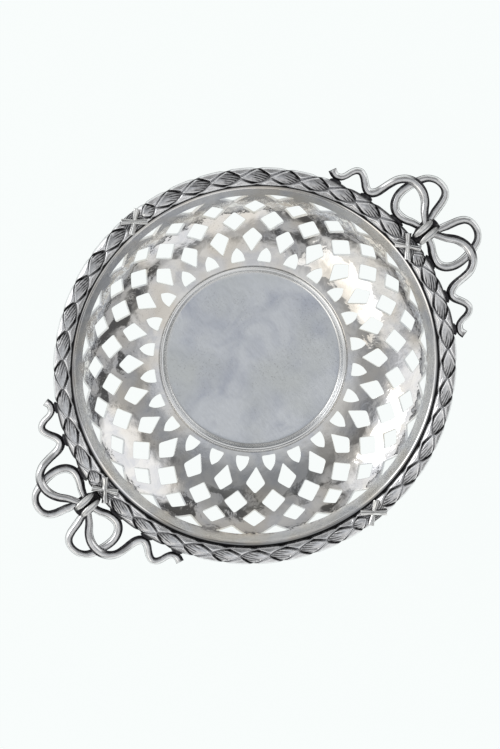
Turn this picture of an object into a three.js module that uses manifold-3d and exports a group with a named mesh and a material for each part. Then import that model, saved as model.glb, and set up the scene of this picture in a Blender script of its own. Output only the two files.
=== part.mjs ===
// A small silver dish. A plain sunk well carries a bowl pierced with a lattice of diamonds, a cast laurel
// border bound by four crossed ribbons is soldered on the turned-out lip of the bowl, and a ribbon bow
// at each end is the handle. Millimetres, +Z up, +X through the bows, origin on the table in the middle.
import * as THREE from "three";
import { mergeVertices } from "three/addons/utils/BufferGeometryUtils.js";
import Module from "manifold-3d";

const wasm = await Module();
wasm.setup();

// Bowl and well
const dishRadius = 59.7; // mean radius, middle of the dish to the inner edge of the laurel border
const ovalShare = 0.012; // the hand-raised rim is this much wider than its mean towards the bows
const wellRadius = 31.4; // opening in the foot of the pierced side, filled by the well plate
const wellDepth = 2.5; // floor of the well below the foot of the side
const sideRise = 17; // foot of the side to the start of its lip
const lipWidth = 1.3; // rounded shoulder between the side and the flange
const sheetThickness = 1.1;
const plateThickness = 1.1;
const solderGap = 0.3; // between two soldered pieces
const footSlope = THREE.MathUtils.degToRad(8.5);

// Laurel border
const borderWidth = 5.8;
const borderHeight = 2.2; // seat to the crown of the plain moulding under the leaves
const borderEdge = 0.8; // height of the moulding's upright edge
const leafLift = 0.5; // how far a leaf stands out of the moulding
const leafGroove = 0.2; // groove round a leaf
const scallopDepth = 0.35; // notch in the border's edge where two side leaves meet
const flangeInset = 0.6; // the border overhangs the flange that carries it

// Crossed ribbons over the border
const tieWidth = 1.4;
const tieThickness = 0.8;
const tieSpan = 7.2; // along the border, between the tips of the cross

// Bows
const ribbonWidth = 2.9;
const ribbonThickness = 1.5;
const bowReach = 16.7; // border's edge to the outermost run of ribbon, less its seat
const bowHalfSpan = 34.2; // middle of the knot to the last bend of a tail, along the border
const knotLength = 8.1;
const knotWidth = 5.6;
const knotHeight = 4.3;

const quarterTurn = Math.PI / 2;
const quarters = 4;

// Values that follow from the driving sizes
const floorTop = plateThickness;
const footHeight = floorTop + wellDepth;
const sideTopRadius = dishRadius + solderGap - lipWidth;
const chordAngle = Math.atan2(sideRise, sideTopRadius - wellRadius);
const sideTurn = 2 * (chordAngle - footSlope);
const topSlope = footSlope + sideTurn;
const sideBend = Math.hypot(sideRise, sideTopRadius - wellRadius) / (2 * Math.sin(sideTurn / 2));
const lipBend = lipWidth / Math.sin(topSlope);
const rimHeight = footHeight + sideRise + lipBend * (1 - Math.cos(topSlope));
const borderInner = dishRadius + solderGap;
const borderOuter = borderInner + borderWidth;
const borderMiddle = borderInner + borderWidth / 2;
const borderSeat = rimHeight + solderGap;
const flangeRadius = borderOuter - flangeInset;

// Lattice: 24 columns of openings in five rows. A row's outline is the right half of one opening, foot to
// head, as shares of half a column across and of the side's arc upwards. The rows were marked out by hand
// and lean back round the bowl from foot to rim.
const columns = 24;
const halfColumn = Math.PI / columns;
const latticeLean = THREE.MathUtils.degToRad(1.6);
function diamondShares(foot, corner, head, width) {
  const blunting = 0.1; // of the way from a side corner to the foot and to the head
  return [
    [0, foot],
    [width, THREE.MathUtils.lerp(corner, foot, blunting)],
    [width, THREE.MathUtils.lerp(corner, head, blunting)],
    [0, head],
  ];
}
const archShares = [
  [0, 0.05],
  [0.52, 0.05],
  [0.4, 0.125],
  [0, 0.21],
];
const tallDiamondShares = diamondShares(0.15, 0.322, 0.433, 0.6);
const middleDiamondShares = diamondShares(0.397, 0.527, 0.65, 0.65);
const shortDiamondShares = diamondShares(0.599, 0.708, 0.798, 0.58);
const rimTriangleShares = [
  [0, 0.792],
  [0.4, 0.848],
  [0.66, 0.886],
  [0, 0.891],
];

// The sheet of the side: stations 0 to 1 run up the pierced arc, 1 to 2 round the lip and 2 to 3 over the
// flange. Side 0 is the upper face of the sheet and side 1 the lower one. It is round at its foot and
// grows oval towards the rim.
function sheetPoint(angle, station, side) {
  let slope = footSlope + sideTurn * Math.min(station, 1);
  let radius = wellRadius + sideBend * (Math.sin(slope) - Math.sin(footSlope));
  let height = footHeight + sideBend * (Math.cos(footSlope) - Math.cos(slope));
  if (station > 1) {
    slope = topSlope * (1 - Math.min(station - 1, 1));
    radius += lipBend * (Math.sin(topSlope) - Math.sin(slope));
    height += lipBend * (Math.cos(slope) - Math.cos(topSlope));
  }
  if (station > 2) radius += (flangeRadius - borderInner) * (station - 2);
  radius += side * sheetThickness * Math.sin(slope);
  height -= side * sheetThickness * Math.cos(slope);
  const oval = ovalShare * Math.min(station, 1);
  const turned = angle - latticeLean * Math.min(station, 1);
  return new THREE.Vector3(
    radius * (1 + oval) * Math.cos(turned),
    radius * (1 - oval) * Math.sin(turned),
    height,
  );
}

// An indexed geometry with its shared vertices merged.
function closedGeometry(points, faces) {
  const geometry = new THREE.BufferGeometry().setFromPoints(points);
  geometry.setIndex(faces.flat());
  return mergeVertices(geometry);
}

// Gives a flat pattern of [across, along] points and anticlockwise faces a thickness: both faces of the
// sheet are mapped from it, and every free edge gets a wall.
function thickSheet(pattern, faces, place) {
  const count = pattern.length;
  const points = [0, 1].flatMap((side) => pattern.map(([across, along]) => place(across, along, side)));
  const free = new Map();
  for (const face of faces) {
    for (let i = 0; i < 3; i++) {
      const from = face[i];
      const to = face[(i + 1) % 3];
      if (!free.delete(to + "," + from)) free.set(from + "," + to, [from, to]);
    }
  }
  const upper = faces.map(([a, b, c]) => [c, b, a]);
  const lower = faces.map((face) => face.map((i) => i + count));
  const walls = [...free.values()].flatMap(([from, to]) => [
    [to + count, from + count, from],
    [to + count, from, to],
  ]);
  return closedGeometry(points, [...upper, ...lower, ...walls]);
}

// One column of the lattice, from half an opening at its left edge to half an opening at its right edge,
// with the strips of the lip and the flange over it.
const lipStations = [1, 1.5, 2, 3];
function latticeColumn() {
  const outline = [];
  const steps = 3;
  for (let i = 0; i <= steps; i++) outline.push([-1 + (2 * i) / steps, 0]);
  for (const row of [tallDiamondShares, shortDiamondShares])
    outline.push(...row.map(([across, along]) => [1 - across, along]));
  for (let i = 0; i <= steps; i++) outline.push([1 - (2 * i) / steps, 1]);
  for (const row of [shortDiamondShares, tallDiamondShares])
    outline.push(...row.map(([across, along]) => [across - 1, along]).reverse());
  const openings = [archShares, middleDiamondShares, rimTriangleShares].map((row) => {
    const left = row.slice(1, -1).map(([across, along]) => [-across, along]);
    return [...row, ...left.reverse()];
  });
  const asVectors = (loop) => loop.map(([across, along]) => new THREE.Vector2(across, along));
  const faces = THREE.ShapeUtils.triangulateShape(asVectors(outline), openings.map(asVectors));
  const pattern = [...outline, ...openings.flat()];
  for (let row = 0; row < lipStations.length - 1; row++) {
    const first = pattern.length;
    for (let i = 0; i <= steps; i++) {
      const across = -1 + (2 * i) / steps;
      pattern.push([across, lipStations[row]], [across, lipStations[row + 1]]);
    }
    for (let i = first; i < pattern.length - 2; i += 2) faces.push([i, i + 2, i + 3], [i, i + 3, i + 1]);
  }
  return { pattern, faces };
}

function piercedSide() {
  const column = latticeColumn();
  const pattern = [];
  const faces = [];
  const places = new Map();
  const turn = 2 * columns;
  for (let k = 0; k < columns; k++) {
    const index = column.pattern.map(([across, along]) => {
      const position = (2 * k + across + turn) % turn;
      const key = position.toFixed(5) + "," + along.toFixed(5);
      if (!places.has(key)) {
        places.set(key, pattern.length);
        pattern.push([position, along]);
      }
      return places.get(key);
    });
    faces.push(...column.faces.map((face) => face.map((i) => index[i])));
  }
  return thickSheet(pattern, faces, (across, along, side) => sheetPoint(across * halfColumn, along, side));
}

// The well: a flat pan whose rounded edge stands in the opening of the side, with a ledge that carries it.
function wellPlate() {
  const wallTop = wellRadius - solderGap;
  const ledge = footHeight - sheetThickness - solderGap;
  const ledgeWidth = sheetThickness * 1.25;
  const crown = footHeight + plateThickness * 0.15;
  const floorEdge = wallTop - plateThickness * 1.6;
  const profile = [
    [0, 0],
    [floorEdge - plateThickness * 0.5, 0],
    [floorEdge + plateThickness, plateThickness * 0.45],
    [wallTop + ledgeWidth * 0.3, ledge - plateThickness * 0.8],
    [wallTop + ledgeWidth, ledge - plateThickness * 0.6],
    [wallTop + ledgeWidth, ledge],
    [wallTop, ledge],
    [wallTop, crown - plateThickness * 0.25],
    [wallTop - plateThickness * 0.35, crown],
    [wallTop - plateThickness * 0.85, crown - plateThickness * 0.4],
    [floorEdge + plateThickness * 0.3, floorTop + plateThickness * 0.4],
    [floorEdge - plateThickness * 0.3, floorTop],
    [0, floorTop],
  ];
  return revolved(profile);
}

function revolved(profile) {
  const segments = 2 * columns;
  const points = profile.map(([radius, height]) => new THREE.Vector2(radius, height));
  const geometry = new THREE.LatheGeometry(points, segments).rotateX(quarterTurn);
  geometry.deleteAttribute("normal");
  geometry.deleteAttribute("uv");
  return mergeVertices(geometry);
}

// Joins rings of equal count into a closed skin, with a flat cap on the first and the last. A ring runs
// anticlockwise when it is seen from beyond the last ring.
function loft(rings, capShape) {
  const count = rings[0].length;
  const faces = [];
  for (let i = 0; i < rings.length - 1; i++) {
    for (let j = 0; j < count; j++) {
      const near = i * count + j;
      const nearNext = i * count + ((j + 1) % count);
      faces.push([near, nearNext, nearNext + count], [near, nearNext + count, near + count]);
    }
  }
  const caps = [rings[0], rings.at(-1)].map((ring) => THREE.ShapeUtils.triangulateShape(capShape(ring), []));
  const last = (rings.length - 1) * count;
  faces.push(...caps[0].map(([a, b, c]) => [c, b, a]));
  faces.push(...caps[1].map((face) => face.map((i) => i + last)));
  return closedGeometry(rings.flat(), faces);
}

// Laurel border. A quarter runs anticlockwise from one tie to the next, with ten leaves whose tips point
// the same way. A leaf's outline and rise are given at stations along it.
const leavesPerQuarter = 10;
const lastLeafShare = 0.55; // the last leaf is short, its tip at the next tie
const firstLeafAngle = THREE.MathUtils.degToRad(3.3);
const lastLeafAngle = THREE.MathUtils.degToRad(87.5);
const leafStations = [
  { along: 0, width: 0.04, rise: 0.1, notch: 0.1 },
  { along: 0.2, width: 0.5, rise: 0.55, notch: 0.4 },
  { along: 0.43, width: 0.84, rise: 0.9, notch: 1 },
  { along: 0.68, width: 0.6, rise: 1, notch: 0.35 },
  { along: 0.87, width: 0.27, rise: 0.8, notch: 0 },
];
const bareStation = { width: 0.04, rise: 0, notch: 0 };
const grooveShare = 0.06; // of half the border's width

// The moulding is waisted under a tie, so that the crossed ribbons lie level with the leaves.
function waist(distanceFromTie) {
  const waistDepth = 0.42;
  return 1 - waistDepth * (1 - THREE.MathUtils.smoothstep(distanceFromTie, tieSpan * 0.2, tieSpan * 0.72));
}

function mouldingHeight(across, distanceFromTie) {
  const crown = borderEdge + (borderHeight - borderEdge) * Math.sqrt(Math.max(0, 1 - across * across));
  return crown * waist(distanceFromTie);
}

function borderRing(angle, leaf) {
  const fromTie = borderMiddle * Math.min(angle, quarterTurn - angle);
  const half = borderWidth / 2;
  const lift = leafLift * leaf.rise * waist(fromTie);
  const groove = leaf.width + grooveShare;
  const halfway = (groove + 1) / 2;
  const edge = 1 - (scallopDepth / half) * leaf.notch;
  const height = (across) => mouldingHeight(across, fromTie);
  const upper = [
    [edge, borderEdge * waist(fromTie)],
    [Math.min(halfway, edge), height(halfway)],
    [groove, height(groove) - leafGroove],
    [leaf.width, height(leaf.width) + lift * 0.6],
    [0, height(0) + lift],
  ];
  const ring = [...upper, ...upper.slice(0, -1).reverse().map(([across, up]) => [-across, up])];
  ring.push([-edge, 0], [edge, 0]);
  return ring.reverse().map(([across, up]) => {
    const radius = borderMiddle + across * half;
    return new THREE.Vector3(radius * Math.cos(angle), radius * Math.sin(angle), up);
  });
}

function laurelQuarter() {
  const endAngle = solderGap / 2 / borderMiddle;
  const pitch = (lastLeafAngle - firstLeafAngle) / (leavesPerQuarter - 1 + lastLeafShare);
  const rings = [borderRing(endAngle, bareStation)];
  for (let k = 0; k < leavesPerQuarter; k++) {
    const start = firstLeafAngle + k * pitch;
    const length = Math.min(pitch, lastLeafAngle - start);
    for (const station of leafStations) rings.push(borderRing(start + station.along * length, station));
  }
  rings.push(borderRing(lastLeafAngle, leafStations[0]));
  rings.push(borderRing(quarterTurn - endAngle, bareStation));
  return loft(rings, (ring) => ring.map((p) => new THREE.Vector2(-Math.hypot(p.x, p.y), p.z)));
}

// A bar swept along stations {x, y, z, heading, widthShare}, its flat underside on z, with a section of
// [across, up] points that run anticlockwise as seen against the heading.
function sweptBar(stations, section) {
  const rings = stations.map(({ x, y, z, heading, widthShare = 1 }) =>
    section.map(([across, up]) => {
      const aside = across * widthShare;
      return new THREE.Vector3(x - aside * Math.sin(heading), y + aside * Math.cos(heading), z + up);
    }),
  );
  return loft(rings, () => section.map(([across, up]) => new THREE.Vector2(across, up)));
}

function asSolid(geometry) {
  return new wasm.Manifold(
    new wasm.Mesh({
      numProp: 3,
      vertProperties: geometry.attributes.position.array,
      triVerts: new Uint32Array(geometry.index.array),
    }),
  );
}

function asGeometry(solid) {
  const mesh = solid.getMesh();
  const geometry = new THREE.BufferGeometry();
  geometry.setAttribute("position", new THREE.BufferAttribute(mesh.vertProperties, 3));
  geometry.setIndex(new THREE.BufferAttribute(mesh.triVerts, 1));
  return geometry;
}

function united(geometries) {
  return asGeometry(geometries.map(asSolid).reduce((joined, solid) => joined.add(solid)));
}

// A tie is two flat ribbons laid over the border in a cross. It is centred on +X, its x measured from the
// middle of the dish, and rests on the bare moulding between the leaves of two quarters.
function crossTie() {
  const half = borderWidth / 2;
  const steps = 8;
  const section = [
    [-tieWidth / 2, 0],
    [tieWidth / 2, 0],
    [tieWidth * 0.42, tieThickness * 0.75],
    [0, tieThickness],
    [-tieWidth * 0.42, tieThickness * 0.75],
  ];
  const resting = (x, y) => {
    const across = THREE.MathUtils.clamp((Math.hypot(x, y) - borderMiddle) / half, -1, 1);
    return mouldingHeight(across, Math.abs(y)) + solderGap;
  };
  const ribbon = (slant) => {
    const heading = Math.atan2(slant * tieSpan, 2 * half);
    const stations = [];
    for (let i = 0; i <= steps; i++) {
      const share = (2 * i) / steps - 1;
      const x = borderMiddle + share * half;
      const y = (slant * share * tieSpan) / 2;
      const feet = [-1, 0, 1].map((side) => {
        const offset = (side * tieWidth) / 2;
        return resting(x + offset * Math.sin(heading), y - offset * Math.cos(heading));
      });
      stations.push({ x, y, z: Math.max(...feet), heading });
    }
    return sweptBar(stations, section);
  };
  return united([ribbon(1), ribbon(-1)]);
}

// A bow lies outside the border at +X. Its runs of ribbon are given as shares: outwards, of the reach
// from the ribbon's seat against the border's edge, and along the border, of half the bow's span.
const loopShares = [
  [0.078, 0.142],
  [0.025, 0.2],
  [0, 0.269],
  [0.021, 0.327],
  [0.106, 0.374],
  [0.233, 0.398],
  [0.348, 0.401],
  [0.468, 0.392],
  [0.601, 0.374],
  [0.732, 0.35],
  [0.882, 0.312],
  [0.965, 0.262],
  [0.988, 0.209],
  [0.965, 0.159],
  [0.896, 0.123],
  [0.785, 0.101],
  [0.67, 0.089],
  [0.555, 0.078],
  [0.458, 0.066],
];
const tailShares = [
  [0.394, 0.142],
  [0.532, 0.2],
  [0.613, 0.251],
  [0.659, 0.3],
  [0.675, 0.35],
  [0.659, 0.4],
  [0.601, 0.451],
  [0.497, 0.494],
  [0.348, 0.524],
  [0.198, 0.547],
  [0.083, 0.572],
  [0.014, 0.608],
  [0.007, 0.644],
  [0.055, 0.682],
  [0.136, 0.715],
  [0.214, 0.749],
  [0.263, 0.786],
  [0.251, 0.824],
  [0.175, 0.861],
  [0.076, 0.892],
  [0.014, 0.926],
  [0, 0.963],
  [0.021, 0.996],
  [0.067, 1.019],
];
// Width of the ribbon at even steps along a run, from the knot onwards.
const loopWidthShares = [0.75, 0.9, 1, 1, 1, 0.95, 0.78, 0.75, 0.92, 0.95, 0.7];
const tailWidthShares = [0.72, 0.92, 1, 1, 0.95, 0.93, 1, 0.88, 0.78, 0.8, 0.85];
const tailDescentShares = [0.4, 0.56]; // of the tail's length: it crosses the loop first, then comes down
// The runs stand off the knot by the gap: the loops under its wraps, off its block, and the tails off the
// wraps. The rest, in widths of ribbon, is half the width of a slanting end.
const blockWidth = knotWidth * 0.32;
const blockClear = blockWidth / 2 + solderGap;
const loopStart = [knotLength * 0.33, blockClear + ribbonWidth * 0.16];
const loopEnd = [knotLength * 0.6, blockClear + ribbonWidth * 0.36];
const tailStart = [knotLength * 0.68, knotWidth / 2 + solderGap + ribbonWidth * 0.27];

function ribbonSection() {
  const half = ribbonWidth / 2;
  return [
    [-half, 0],
    [half, 0],
    [half, ribbonThickness * 0.6],
    [half * 0.6, ribbonThickness],
    [0, ribbonThickness * 0.8],
    [-half * 0.6, ribbonThickness],
    [-half, ribbonThickness * 0.6],
  ];
}

// Reads a list of shares that lie at even steps from the start of a run to its end.
function shareAt(shares, run) {
  const place = run * (shares.length - 1);
  const before = Math.min(Math.floor(place), shares.length - 2);
  return THREE.MathUtils.lerp(shares[before], shares[before + 1], place - before);
}

// side is 1 for the half of the bow at +Y and -1 for its mirror image.
function ribbonRun(side, places, widthShares, steps, heightAt) {
  const edge = borderOuter + solderGap + ribbonWidth / 2;
  const route = new THREE.CatmullRomCurve3(
    places.map(([outwards, along]) => {
      const radius = edge + outwards;
      const angle = (side * along) / borderOuter;
      return new THREE.Vector3(radius * Math.cos(angle), radius * Math.sin(angle), 0);
    }),
  );
  const stations = [];
  for (let i = 0; i <= steps; i++) {
    const { x, y } = route.getPointAt(i / steps);
    const tangent = route.getTangentAt(i / steps);
    const heading = Math.atan2(tangent.y, tangent.x);
    stations.push({ x, y, z: heightAt(i / steps), heading, widthShare: shareAt(widthShares, i / steps) });
  }
  return sweptBar(stations, ribbonSection());
}

const inBowSizes = (shares) => shares.map(([outwards, along]) => [outwards * bowReach, along * bowHalfSpan]);

function bowLoop(side) {
  const steps = 26;
  const places = [loopStart, ...inBowSizes(loopShares), loopEnd];
  return ribbonRun(side, places, loopWidthShares, steps, () => 0);
}

function bowTail(side) {
  const steps = 32;
  const places = [tailStart, ...inBowSizes(tailShares)];
  const over = ribbonThickness + solderGap;
  return ribbonRun(side, places, tailWidthShares, steps, (run) =>
    over * (1 - THREE.MathUtils.smoothstep(run, ...tailDescentShares)),
  );
}

// The knot is two rounded wraps side by side, over the loops' ends, on a block that stands between them.
function bowKnot() {
  const wrapRadius = knotWidth * 0.2;
  const wrapOffset = knotWidth / 2 - wrapRadius;
  const blockHeight = knotHeight * 0.55;
  const middle = borderOuter + solderGap + knotLength / 2;
  const block = new THREE.BoxGeometry(knotLength * 0.8, blockWidth, blockHeight);
  block.translate(middle, 0, blockHeight / 2);
  const wraps = [-1, 1].map((side) => {
    const wrap = new THREE.CapsuleGeometry(wrapRadius, knotLength - 2 * wrapRadius, 4, 10);
    wrap.rotateZ(quarterTurn).scale(1, 1, (knotHeight * 0.28) / wrapRadius);
    return wrap.translate(middle, side * wrapOffset, knotHeight * 0.72);
  });
  const bare = [block, ...wraps].map((geometry) => {
    geometry.deleteAttribute("normal");
    geometry.deleteAttribute("uv");
    return mergeVertices(geometry);
  });
  return united(bare);
}

// Assembly
const silver = { color: 0xc6c7c9, roughness: 0.22, metalness: 1 };
const oxidisedSilver = { color: 0xa3a3a5, roughness: 0.34, metalness: 1 };

function piece(name, geometry, finish) {
  const mesh = new THREE.Mesh(geometry, new THREE.MeshStandardMaterial(finish));
  mesh.name = name;
  return mesh;
}

const dish = new THREE.Group();
dish.add(piece("well_plate", wellPlate(), silver));
dish.add(piece("pierced_side", piercedSide(), silver));

const border = new THREE.Group();
border.position.z = borderSeat;
border.scale.set(1 + ovalShare, 1 - ovalShare, 1);
for (let k = 0; k < quarters; k++) {
  const quarter = piece("laurel_quarter_" + (k + 1), laurelQuarter(), oxidisedSilver);
  const tie = piece("cross_tie_" + (k + 1), crossTie(), oxidisedSilver);
  quarter.rotation.z = k * quarterTurn;
  tie.rotation.z = k * quarterTurn;
  border.add(quarter, tie);
}
dish.add(border);

["right", "left"].forEach((end, k) => {
  const bow = new THREE.Group();
  bow.position.z = borderSeat;
  bow.scale.set(1 + ovalShare, 1 - ovalShare, 1);
  bow.rotation.z = k * Math.PI;
  bow.add(piece(end + "_bow_knot", bowKnot(), oxidisedSilver));
  [1, -1].forEach((side, i) => {
    bow.add(piece(end + "_bow_loop_" + (i + 1), bowLoop(side), oxidisedSilver));
    bow.add(piece(end + "_bow_tail_" + (i + 1), bowTail(side), oxidisedSilver));
  });
  dish.add(bow);
});

export default dish;
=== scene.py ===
import math
import random

import bpy
import numpy as np
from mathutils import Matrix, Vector
from mathutils.geometry import delaunay_2d_cdt


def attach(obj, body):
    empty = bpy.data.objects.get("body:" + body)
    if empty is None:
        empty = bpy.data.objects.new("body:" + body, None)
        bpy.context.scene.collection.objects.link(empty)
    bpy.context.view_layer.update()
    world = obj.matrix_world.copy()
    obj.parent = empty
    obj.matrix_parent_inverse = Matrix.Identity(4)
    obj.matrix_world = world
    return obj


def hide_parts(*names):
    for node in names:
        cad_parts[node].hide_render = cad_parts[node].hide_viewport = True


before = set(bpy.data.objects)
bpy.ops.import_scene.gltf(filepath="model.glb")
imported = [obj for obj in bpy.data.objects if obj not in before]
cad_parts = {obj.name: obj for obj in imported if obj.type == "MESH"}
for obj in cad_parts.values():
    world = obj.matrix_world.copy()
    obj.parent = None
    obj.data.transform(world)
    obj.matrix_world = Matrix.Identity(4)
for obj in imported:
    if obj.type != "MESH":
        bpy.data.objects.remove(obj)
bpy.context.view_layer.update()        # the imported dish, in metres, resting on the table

# Well plate. A disc of sterling silver sheet pressed into a shallow pan with a rounded step round it.
# It stands in the foot of the pierced side on a soldered ledge, and the dish rests on its underside.
MM = 0.001
plate_thickness = 1.1
sheet_thickness = 1.1
solder_gap = 0.3
well_radius = 31.4
well_depth = 2.5
foot_height = plate_thickness + well_depth


def linear(colour):
    """Turns an sRGB hex colour such as 0xc8c8c8 into the linear colour that a socket takes."""
    shares = [((colour >> shift) & 255) / 255 for shift in (16, 8, 0)]
    return [c / 12.92 if c <= 0.04045 else ((c + 0.055) / 1.055) ** 2.4 for c in shares] + [1.0]


def add(owner, kind, settings=None, links=None):
    """Adds a shader node with its settings, by input or property name, and what feeds it: sockets, or
    nodes by their first output."""
    node = owner.node_tree.nodes.new("ShaderNode" + kind)
    for key, value in (settings or {}).items():
        if isinstance(key, int) or key in node.inputs:
            node.inputs[key].default_value = value
        else:
            setattr(node, key, value)
    for key, source in (links or {}).items():
        socket = source.outputs[0] if isinstance(source, bpy.types.Node) else source
        owner.node_tree.links.new(socket, node.inputs[key])
    return node


def new_material(name):
    material = bpy.data.materials.new(name)
    material.use_nodes = True
    material.node_tree.nodes.clear()
    return material


def silver_sheet(name, bright, film, warm, roughness, cloud_mm, mark_mm, mark_height_mm):
    """Rolled sterling sheet, planished and hand polished: it mirrors the room softly, under a thin film
    of tarnish in clouds, with the marks of the planishing hammer and of years of wiping. Shares at the
    points steer it: the black share says where black is laid, in a joint or as painted shade under the
    border; matt where the metal is duller, as the saw left it, or, below 0, glossier and painted lighter
    as a painted highlight; and worked how much of the hammer's marks is left."""
    material = new_material(name)
    place = add(material, "TexCoord").outputs["Object"]
    recess, matt, worked = (add(material, "Attribute", {"attribute_name": label}).outputs["Fac"]
                            for label in ("recess", "matt", "worked"))
    clouds = add(material, "TexNoise", {"Scale": 1 / (cloud_mm * MM), "Detail": 3, "Roughness": 0.55,
                                        "Distortion": 0.9}, {"Vector": place})
    spread = add(material, "MapRange", {"From Min": 0.4, "From Max": 0.62}, {"Value": clouds})
    film_mix = add(material, "Mix", {"data_type": "RGBA", 6: linear(bright), 7: linear(film)}, {0: spread})
    # Over the film lies a warm tint in wider clouds. Specks of old tarnish sit in the pits of the metal, a
    # few tenths of a millimetre across, in drifts. Each layer has a size, a detail, the range of its noise
    # that is drawn, and its most.
    layers = []
    for size_mm, detail, low, high, most in ((cloud_mm * 1.7, 2, 0.46, 0.66, 1), (0.45, 2, 0.58, 0.72, 1),
                                             (16, 3, 0.44, 0.62, 0.3)):
        grain = add(material, "TexNoise", {"Scale": 1 / (size_mm * MM), "Detail": detail}, {"Vector": place})
        layers.append(add(material, "MapRange", {"From Min": low, "From Max": high, "To Max": most},
                          {"Value": grain}))
    tint, specks, drifts = layers
    # Near-white silver is laid where matt is below 0: a painted highlight. Black is laid for a joint, or as
    # painted shade.
    old_tarnish, painted_highlight_silver, joint_and_shade_black = 0x57534d, 0xfcfcfb, 0x242324
    pitted = add(material, "Math", {"operation": "MULTIPLY"}, {0: specks, 1: drifts})
    painted_highlight_share = add(material, "Math", {"operation": "MULTIPLY", 1: -2.5, "use_clamp": True}, {0: matt})
    colour = film_mix.outputs[2]
    for over, share in ((warm, tint), (old_tarnish, pitted), (painted_highlight_silver, painted_highlight_share), (joint_and_shade_black, recess)):
        laid = add(material, "Mix", {"data_type": "RGBA", 7: linear(over)}, {0: share, 6: colour})
        colour = laid.outputs[2]
    # Wiping scratches are a few hundredths of a millimetre wide; these are drawn at 0.6 mm so that they show.
    scratch_mm, scratch_length_mm, scratch_depth_mm = 0.6, 2.4, 0.0006
    wipe = add(material, "Mapping", {"Scale": (1 / (scratch_mm * MM), 1 / (scratch_length_mm * MM),
                                               1 / (2 * scratch_mm * MM)),
                                     "Rotation": (0, 0, 0.6)}, {"Vector": place})
    scratches = add(material, "TexNoise", {"Scale": 1, "Detail": 4, "Distortion": 0.8}, {"Vector": wipe})
    dull = add(material, "MapRange", {"From Min": 0.35, "From Max": 0.7, "To Min": roughness * 0.85,
                                      "To Max": roughness * 1.25}, {"Value": scratches})
    rough = add(material, "Math", {"operation": "MULTIPLY_ADD", 1: 0.3, "use_clamp": True},
                {0: matt, 2: dull})
    # Between the marks of the hammer the polishing left smaller ripples, most where the clouds lie.
    marks = add(material, "TexNoise", {"Scale": 1 / (mark_mm * MM), "Detail": 0}, {"Vector": place})
    ripples = add(material, "TexNoise", {"Scale": 2.3 / (mark_mm * MM), "Detail": 0, "Distortion": 0.6},
                  {"Vector": place})
    rippled = add(material, "Math", {"operation": "MULTIPLY"}, {0: ripples, 1: spread})
    relief = add(material, "Math", {"operation": "MULTIPLY_ADD", 1: 0.5}, {0: rippled, 2: marks})
    bump = add(material, "Bump", {"Distance": mark_height_mm * MM}, {"Height": relief, "Strength": worked})
    fine = add(material, "Bump", {"Distance": scratch_depth_mm * MM},
               {"Height": scratches, "Normal": bump, "Strength": worked})
    metal = add(material, "BsdfPrincipled", {"Metallic": 1.0},
                {"Base Color": colour, "Roughness": rough, "Normal": fine})
    add(material, "OutputMaterial", {}, {"Surface": metal})
    return material


def softened(corners, reach, steps=5, closed=True):
    """Rounds the corners of an outline. The curve at a corner starts and ends `reach` from it."""
    corners = [np.array(c, float) for c in corners]
    reaches = reach if isinstance(reach, (list, tuple)) else [reach] * len(corners)
    outline = []
    for i, corner in enumerate(corners):
        if not closed and i in (0, len(corners) - 1):
            outline.append(corner)
            continue
        before, after = corners[i - 1] - corner, corners[(i + 1) % len(corners)] - corner
        start, end = (corner + arm * min(0.48, reaches[i] / np.hypot(*arm)) for arm in (before, after))
        for t in np.linspace(0, 1, steps):
            outline.append((1 - t) ** 2 * start + 2 * t * (1 - t) * corner + t * t * end)
    return np.array(outline)


def loft(rings):
    """Skins an array of rings of points into one closed body, with a flat face on each end."""
    count, size = rings.shape[:2]
    here = np.arange(size)
    after = (here + 1) % size
    faces = []
    for i in range(count - 1):
        near, far = i * size, (i + 1) * size
        faces += np.stack([near + here, near + after, far + after, far + here], 1).tolist()
    faces += [here[::-1].tolist(), ((count - 1) * size + here).tolist()]
    return rings.reshape(-1, 3), faces


def body_mesh(name, points, faces):
    """Makes a mesh in metres from points in millimetres, with its faces turned outwards."""
    mesh = bpy.data.meshes.new(name)
    mesh.from_pydata((np.asarray(points) * MM).tolist(), [], faces)
    mesh.calc_loop_triangles()
    corners = np.empty(3 * len(mesh.loop_triangles), np.int32)
    mesh.loop_triangles.foreach_get("vertices", corners)
    a, b, c = np.asarray(points)[corners.reshape(-1, 3)].transpose(1, 0, 2)
    if np.einsum("ij,ij", a, np.cross(b, c)) < 0:
        mesh.flip_normals()
    return mesh


def in_scene(name, data):
    made = bpy.data.objects.new(name, data)
    bpy.context.scene.collection.objects.link(made)
    return made


def piece(name, points, faces, metal, slot, node, shares=None):
    """A smooth piece from points in millimetres, in its metal, that stands for a CAD node.
    shares are numbers at the points, by name, for the metal to read."""
    mesh = body_mesh(name, points, faces)
    mesh.shade_smooth()
    for label, values in (shares or {}).items():
        mesh.attributes.new(label, "FLOAT", "POINT").data.foreach_set("value", np.asarray(values, np.float32))
    mesh.materials.append(metal)
    made = in_scene(name, mesh)
    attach(made, "root")
    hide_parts(node)


def waves(seed, count, shortest_mm, longest_mm):
    """A gentle unevenness over the plan of the dish, as a hammer leaves it, mostly between -1 and 1."""
    draw = random.Random(seed)
    runs = []
    for _ in range(count):
        heading, length = draw.uniform(0, math.tau), draw.uniform(shortest_mm, longest_mm)
        runs.append((math.cos(heading) * math.tau / length, math.sin(heading) * math.tau / length,
                     draw.uniform(0, math.tau)))
    return lambda x, y: sum(np.sin(a * x + b * y + c) for a, b, c in runs) / math.sqrt(count)


wall_top = well_radius - 0.04  # the solder all but closes the joint
ledge_height = foot_height - sheet_thickness - solder_gap
ledge_reach = sheet_thickness * 1.25
well_crown = foot_height + plate_thickness * 0.15
floor_edge = wall_top - plate_thickness * 1.6
floor_rings = [2, 6, 10, 14, 18, 21, 24, 26.5]
flat_radius = 28
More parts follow.
